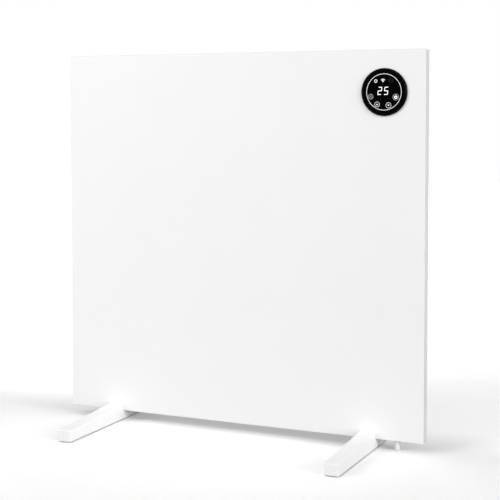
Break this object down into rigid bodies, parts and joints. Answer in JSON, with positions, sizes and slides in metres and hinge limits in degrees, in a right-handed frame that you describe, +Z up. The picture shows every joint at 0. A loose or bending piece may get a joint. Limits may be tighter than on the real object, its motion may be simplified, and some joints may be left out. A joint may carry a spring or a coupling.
{
  "type": "infrared panel heater",
  "caption": "Flat free-standing infrared panel heater on two tapered feet, with a round touch display in its upper corner and a tip-over switch below.",
  "frame": {"origin": "on the floor, at the bottom centre of the heater's bounding box, under the middle of the panel", "axes": "+Z up, +X to the right across the panel as seen from the front, -Y out of the panel's heated front face"},
  "size_m": [0.6, 0.334, 0.591],
  "materials": {
    "white_coat": "satin powder coat",
    "cover_coat": "satin powder coat",
    "white_plastic": "smooth satin",
    "black_plastic": "gloss",
    "black_glass": "polished, black behind",
    "rubber": "matt",
    "steel": "zinc plated",
    "copper": "bare copper",
    "foil": "bright",
    "film": "carbon film",
    "wool": "mineral wool",
    "circuit_board": "solder mask",
    "module_white": "moulded",
    "relay_blue": "moulded",
    "transformer_yellow": "taped winding",
    "terminal_green": "moulded",
    "lead_sleeve": "silicone sleeve",
    "ribbon_grey": "flat cable",
    "foam": "conductive foam"
  },
  "bodies": {
    "heater": {"front_panel": "white_coat", "rear_cover": "cover_coat", "cover_screw_1": "steel", "cover_screw_2": "steel", "cover_screw_3": "steel", "cover_screw_4": "steel", "cover_screw_5": "steel", "cover_screw_6": "steel", "cover_screw_7": "steel", "cover_screw_8": "steel", "box_screw_1": "steel", "box_screw_2": "steel", "box_screw_3": "steel", "box_screw_4": "steel", "foot_screw_left_outer": "steel", "foot_screw_left_inner": "steel", "foot_screw_right_outer": "steel", "foot_screw_right_inner": "steel", "foot_plate_left": "steel", "foot_plate_right": "steel", "tip_spring": "steel", "wireless_module": "steel", "heating_film": "film", "reflector_foil": "foil", "insulation_board": "wool", "busbar_left": "copper", "busbar_right": "copper", "foot_left": "white_plastic", "foot_right": "white_plastic", "control_box": "white_plastic", "foot_pad_left_front": "rubber", "foot_pad_left_rear": "rubber", "foot_pad_right_front": "rubber", "foot_pad_right_rear": "rubber", "tip_guide": "black_plastic", "tip_microswitch": "black_plastic", "display_bezel": "black_plastic", "switch_frame": "black_plastic", "cord_gland": "black_plastic", "thermal_cutout": "black_plastic", "temperature_sensor": "black_plastic", "display_glass": "black_glass", "display_board": "circuit_board", "control_board": "circuit_board", "digit_module": "module_white", "relay": "relay_blue", "transformer": "transformer_yellow", "capacitor": "transformer_yellow", "terminal_block": "terminal_green", "lead_left": "lead_sleeve", "lead_link": "lead_sleeve", "lead_right": "lead_sleeve", "display_ribbon": "ribbon_grey", "touch_pad_left": "foam", "touch_pad_right": "foam", "touch_pad_up": "foam", "touch_pad_down": "foam"},
    "tip_pin": {"tip_plunger": "white_plastic"},
    "rocker": {"switch_rocker": "black_plastic"}
  },
  "joints": [
    {"name": "tip_pin_slide", "type": "slide", "parent": "heater", "child": "tip_pin", "axis": [0, 0, 1], "range_m": [-0.005, 0], "stiffness_N_per_m": 150, "springref_m": -0.012, "deforming": ["tip_spring"]},
    {"name": "rocker_tilt", "type": "hinge", "parent": "heater", "child": "rocker", "pos_m": [0.244, 0.0304, 0.466], "axis": [1, 0, 0], "range_deg": [-16, 0]}
  ]
}
